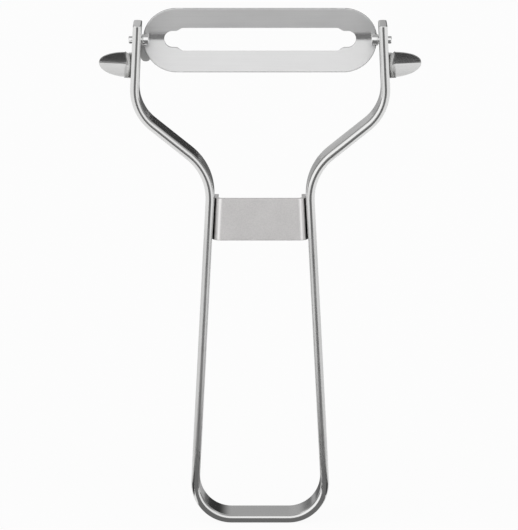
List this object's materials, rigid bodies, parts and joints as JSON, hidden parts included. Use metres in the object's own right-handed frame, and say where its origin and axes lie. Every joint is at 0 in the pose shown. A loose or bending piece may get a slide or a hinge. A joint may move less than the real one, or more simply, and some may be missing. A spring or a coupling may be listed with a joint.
{
  "type": "vegetable peeler",
  "caption": "Y-shaped vegetable peeler of bent steel strip with a swivelling slotted blade held on pins between its arms, a braced neck and an eye scoop outside each arm.",
  "frame": {"origin": "middle of the foot's underside, where the handle stands upright", "axes": "+Z from the foot up to the blade, +X to the right along the pivot axis, +Y from the side that the blade's hollow faces to the side that the blade stop is on"},
  "size_m": [0.0752, 0.01, 0.1225],
  "materials": {
    "polished_steel": "tumble-polished stainless strip",
    "blasted_steel": "fine bead-blasted stainless sheet",
    "blade_steel": "satin-ground hardened stainless sheet",
    "pin_steel": "turned stainless",
    "scoop_steel": "polished pressed stainless sheet"
  },
  "bodies": {
    "frame": {"handle_frame": "polished_steel", "brace_bracket": "blasted_steel", "left_eye_scoop": "scoop_steel", "right_eye_scoop": "scoop_steel", "blade_stop": "pin_steel"},
    "blade_unit": {"blade": "blade_steel", "left_pivot_pin": "pin_steel", "right_pivot_pin": "pin_steel"}
  },
  "joints": [
    {"name": "blade_swivel", "type": "hinge", "parent": "frame", "child": "blade_unit", "pos_m": [0, 0, 0.115], "axis": [1, 0, 0], "range_deg": [-75, 40]}
  ]
}
